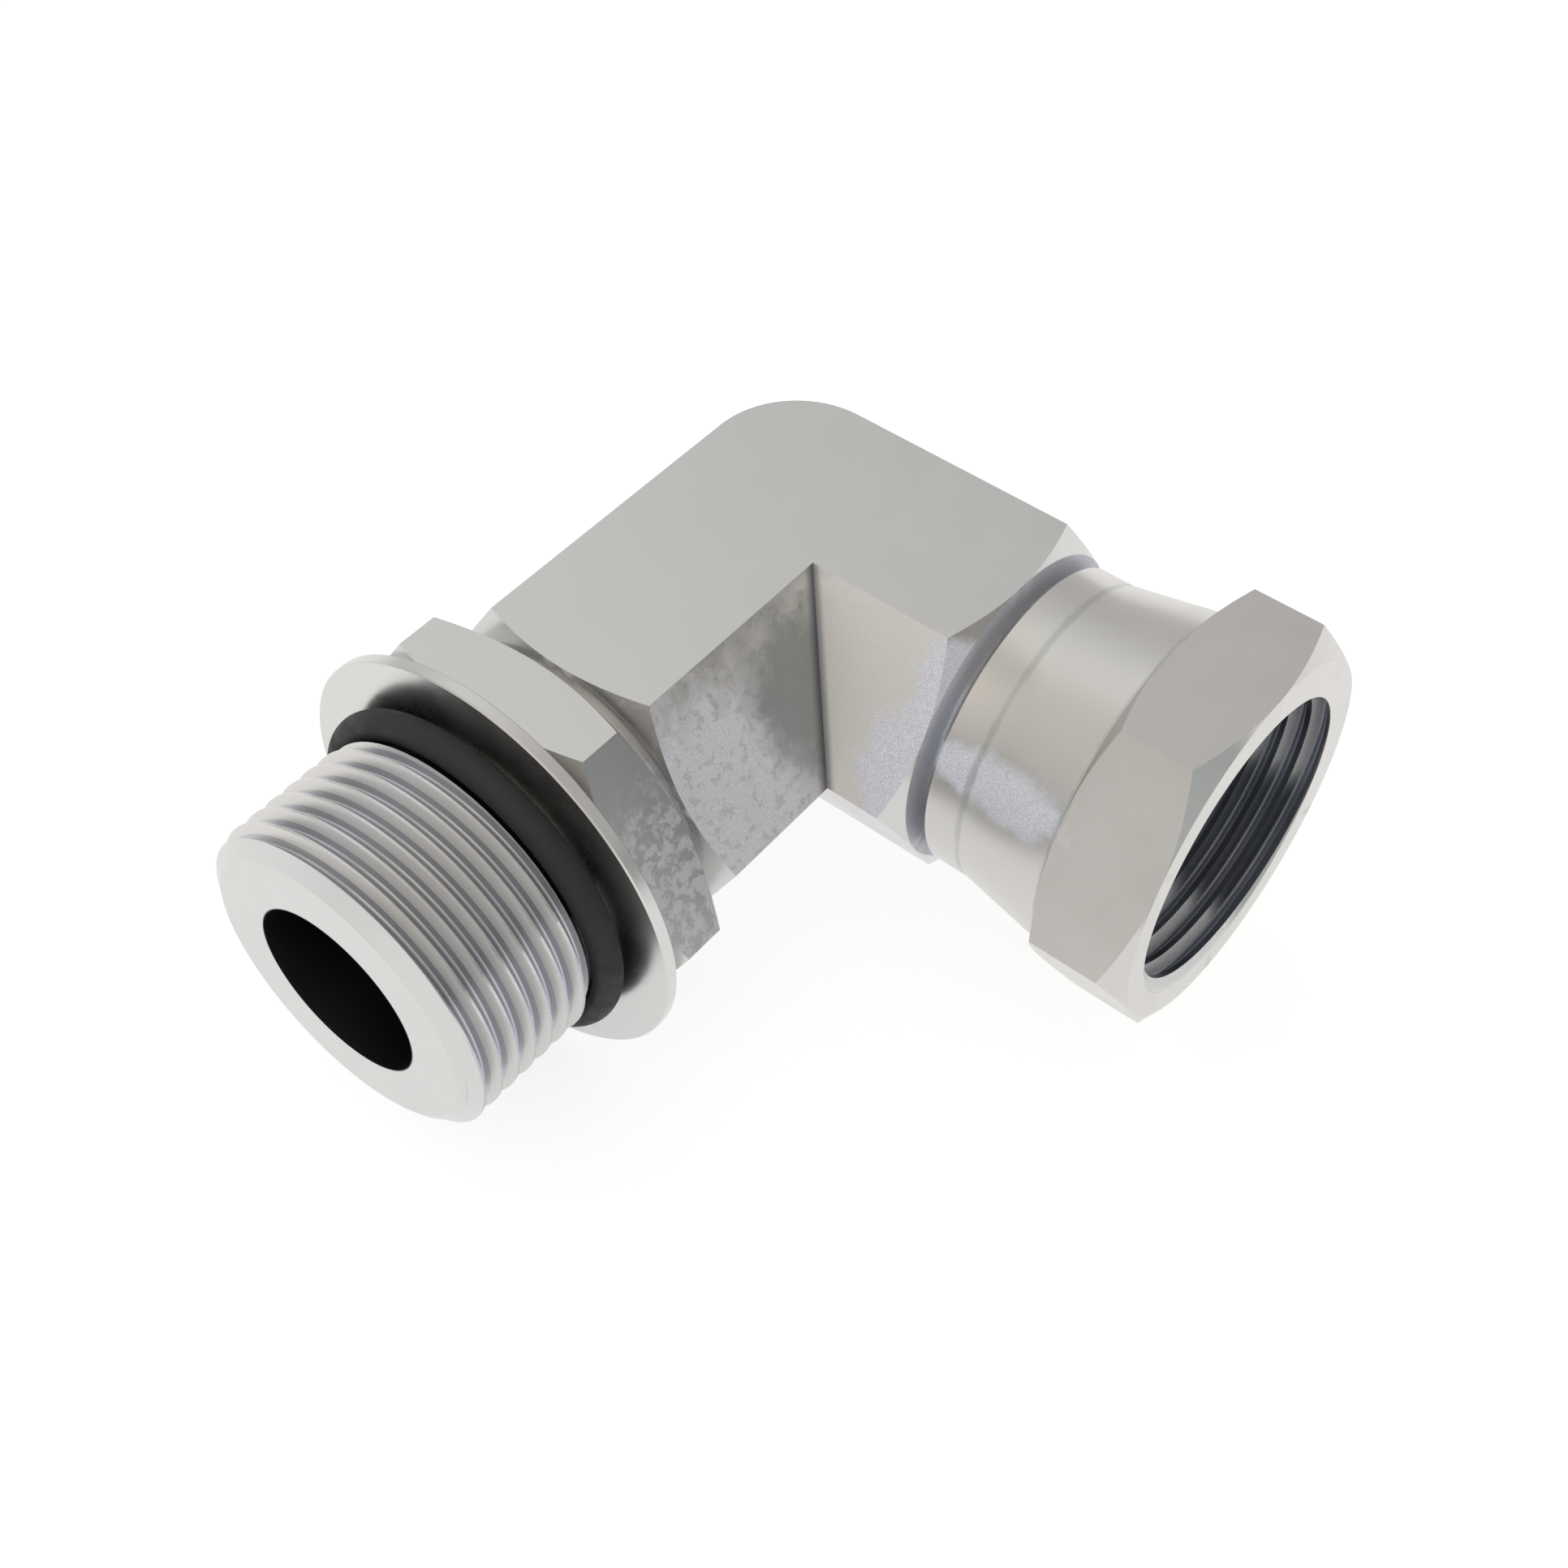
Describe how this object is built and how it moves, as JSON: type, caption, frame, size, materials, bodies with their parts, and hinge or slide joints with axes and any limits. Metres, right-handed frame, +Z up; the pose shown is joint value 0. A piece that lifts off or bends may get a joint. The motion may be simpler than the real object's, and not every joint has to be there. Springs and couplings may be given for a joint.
{
  "type": "ninety degree swivel elbow",
  "caption": "Hydraulic ninety degree elbow: hexagonal body, adjustable O-ring boss stud with locknut, washer and O-ring, and a freely turning female pipe swivel nut.",
  "frame": {"origin": "the point where the two flow axes cross, inside the corner of the body", "axes": "-Y along the stud towards its threaded end, +X along the swivel leg towards the nut's mouth, +Z up when the elbow lies flat"},
  "size_m": [0.0755, 0.0869, 0.0442],
  "materials": {
    "body_zinc": "satin zinc plate",
    "locknut_zinc": "satin zinc plate",
    "washer_zinc": "satin zinc plate",
    "swivel_zinc": "satin zinc plate",
    "seal_rubber": "matte"
  },
  "bodies": {
    "elbow": {"elbow_body": "body_zinc", "o_ring": "seal_rubber"},
    "washer": {"backup_washer": "washer_zinc"},
    "lock_nut": {"locknut": "locknut_zinc"},
    "swivel": {"swivel_nut": "swivel_zinc"}
  },
  "joints": [
    {"name": "swivel_spin", "type": "hinge", "parent": "elbow", "child": "swivel", "pos_m": [0.0407, 0, 0], "axis": [1, 0, 0], "continuous": true},
    {"name": "washer_travel", "type": "slide", "parent": "elbow", "child": "washer", "axis": [0, -1, 0], "range_m": [-0.0023, 0.00054]},
    {"name": "locknut_turn", "type": "hinge", "parent": "washer", "child": "lock_nut", "pos_m": [0, -0.04055, 0], "axis": [0, -1, 0], "range_deg": [-390, 90]}
  ],
  "couplings": [
    {"joint": "washer_travel", "follows": "locknut_turn", "m_per_rad": 0.00033688}
  ]
}
